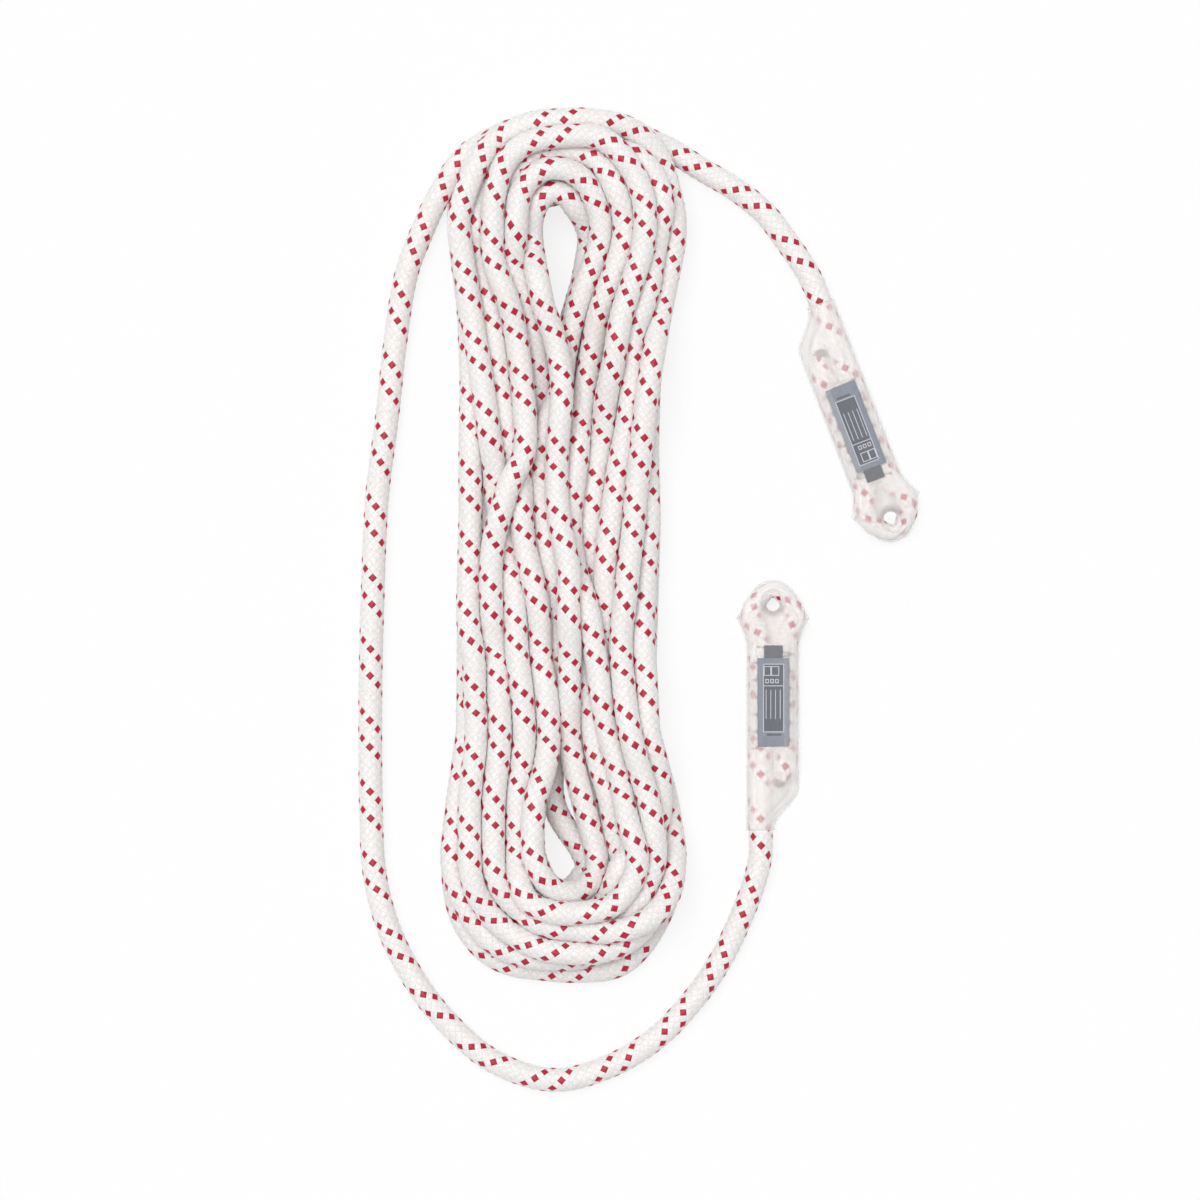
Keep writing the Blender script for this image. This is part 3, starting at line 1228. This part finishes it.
def fused_mesh(name, finish):
    """The returned leg's melted tip: a lumpy cap with a drawn-in rim, pointing at the mouth."""
    shape = bmesh.new()
    middle = LEG_OFFSET - CUT_END_SHIFT
    rings = []
    for depth, size in FUSED_RINGS:
        y = RETURN_LEG_START + FUSED_END_LENGTH - depth
        ring = []
        for step in range(FUSED_SIDES):
            angle = 2 * math.pi * step / FUSED_SIDES
            lump = 1
            for high, count, turn in FUSED_LUMPS:
                lump += high * math.sin(count * angle + turn * depth)
            reach = ROPE_RADIUS * size * lump
            point = (middle + reach * math.cos(angle), y, EYE_ROPE_Z + reach * math.sin(angle))
            ring.append(shape.verts.new(point))
        rings.append(ring)
    for here, there in zip(rings, rings[1:]):
        for step in range(FUSED_SIDES):
            after = (step + 1) % FUSED_SIDES
            shape.faces.new([here[step], here[after], there[after], there[step]])
    shape.faces.new(rings[-1])
    shape.faces.new(rings[0][::-1])
    bmesh.ops.recalc_face_normals(shape, faces=shape.faces)
    return mesh_of(name, shape, [finish])


def add_object(data):
    """A new object in the scene, with the name of its data."""
    made = bpy.data.objects.new(data.name, data)
    bpy.context.scene.collection.objects.link(made)
    return made


def add_piece(data, place, node):
    """A piece of a sewn eye, put in its place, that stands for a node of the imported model."""
    data.transform(place)
    piece = add_object(data)
    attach(piece, "root")
    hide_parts(node)
    return piece


def make_sewn_eye(name, mouth, turn, finishes):
    """The pieces that are fixed to the rope at one of its ends."""
    place = eye_place(mouth, turn)
    pieces = []
    for where, side in (("top", 1), ("bottom", -1)):
        node = f"{name}_stitching_{where}"
        thread = thread_curve(f"{node}_thread", stitch_points(side), finishes["thread"])
        pieces.append(add_piece(thread, place, node))
    cap = fused_mesh(f"{name}_fused_cap", finishes["fused"])
    pieces.append(add_piece(cap, place, f"{name}_fused_end"))
    tape = strip_mesh(
        f"{name}_tape_strip", TAPE_WIDTH, LABEL_START_Y, LEGS_PART_Y, TAPE_BOTTOM_Z, finishes["tape"]
    )
    pieces.append(add_piece(tape, place, f"{name}_label_tape"))
    label = strip_mesh(
        f"{name}_label_strip", LABEL_WIDTH, LABEL_START_Y, LABEL_END_Y, LABEL_BOTTOM_Z, finishes["label"]
    )
    pieces.append(add_piece(label, place, f"{name}_label"))
    shell = sleeve_mesh(f"{name}_sleeve_shell", finishes["clear"])
    sleeve = add_piece(shell, place, f"{name}_sleeve")
    wall = sleeve.modifiers.new("wall", "SOLIDIFY")
    wall.thickness = SLEEVE_SHELL
    wall.offset = -1.0
    sleeve.visible_shadow = False
    return [*pieces, sleeve]


# The camera, the lamps and the floor
CAMERA_HEIGHT = 3.0
FOCUS_Z = 0.010
SENSOR = 36.0
FLOOR_SIZE = 8.0
FLOOR_DROP = 0.0004  # so that no flat underside lies in the floor's own plane
FLOOR_WHITE = (0.93, 0.93, 0.93, 1.0)
FLOOR_GLOW = 0.8  # how much of the floor is plain white to the camera, so that shadows stay faint
SKY_STRENGTH = 0.50
SUN_STRENGTH = 1.75
SUN_WIDTH = math.radians(35)
SUN_TILT = (math.radians(-11), math.radians(-9), 0.0)


def make_camera():
    data = bpy.data.cameras.new("camera")
    data.sensor_width = SENSOR
    data.lens = SENSOR * (CAMERA_HEIGHT - FOCUS_Z) / (PHOTO_SIZE * PIXEL)
    camera = add_object(data)
    camera.location = (*on_photo(PHOTO_SIZE / 2, PHOTO_SIZE / 2), CAMERA_HEIGHT)
    bpy.context.scene.camera = camera


def make_floor():
    bpy.ops.mesh.primitive_plane_add(size=FLOOR_SIZE)
    floor = bpy.context.object
    floor.name = "floor"
    floor.location.z = -FLOOR_DROP
    nodes = Nodes("floor")
    nodes.surface({"Base Color": FLOOR_WHITE, "Roughness": 0.9})
    glow = nodes.add("ShaderNodeEmission", Strength=1.0)
    path = nodes.add("ShaderNodeLightPath")
    seen = nodes.maths("MAXIMUM", path.outputs["Is Camera Ray"], path.outputs["Is Glossy Ray"])
    seen = nodes.maths("MAXIMUM", seen, path.outputs["Is Transmission Ray"])
    blend = nodes.add("ShaderNodeMixShader")
    nodes.link(nodes.maths("MULTIPLY", seen, FLOOR_GLOW), blend.inputs[0])
    nodes.link(nodes.shader.outputs[0], blend.inputs[1])
    nodes.link(glow.outputs[0], blend.inputs[2])
    nodes.link(blend.outputs[0], nodes.tree.nodes["Material Output"].inputs[0])
    floor.data.materials.append(nodes.material)


def make_lights():
    scene = bpy.context.scene
    scene.view_settings.view_transform = "Standard"
    world = bpy.data.worlds.new("studio")
    scene.world = world
    world.use_nodes = True
    sky = world.node_tree.nodes["Background"]
    sky.inputs["Color"].default_value = (1.0, 1.0, 1.0, 1.0)
    sky.inputs["Strength"].default_value = SKY_STRENGTH
    sun = bpy.data.lights.new("key", "SUN")
    sun.energy = SUN_STRENGTH
    sun.angle = SUN_WIDTH
    add_object(sun).rotation_euler = SUN_TILT


def make_rope(line):
    """The whole rope, in white yarn with red tracer yarns."""
    finishes = [rope_material(name, *looks) for name, looks in YARNS.items()]
    rope = add_object(rope_mesh(line, finishes))
    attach(rope, "root")
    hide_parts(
        "hank", "long_tail_sheath", "long_tail_core", "short_tail_sheath", "short_tail_core",
        "lower_eye_sheath", "lower_eye_core", "upper_eye_sheath", "upper_eye_core",
    )
    return rope


def main():
    make_camera()
    make_floor()
    make_lights()
    line = evenly(smooth(settled(whole_route()), steps=4), BRAID_CELL / 2)
    rope = make_rope(line)
    finishes = {
        "thread": thread_material(),
        "fused": fused_material(),
        "tape": [woven_material("tape")],
        "label": [woven_material(f"label_{part}") for part in ("ground", "panel", "line", "margin")],
        "clear": clear_materials(),
    }
    fittings = make_sewn_eye("lower", LOWER_MOUTH, LOWER_TURN, finishes)
    fittings += make_sewn_eye("upper", UPPER_MOUTH, UPPER_TURN, finishes)


main()
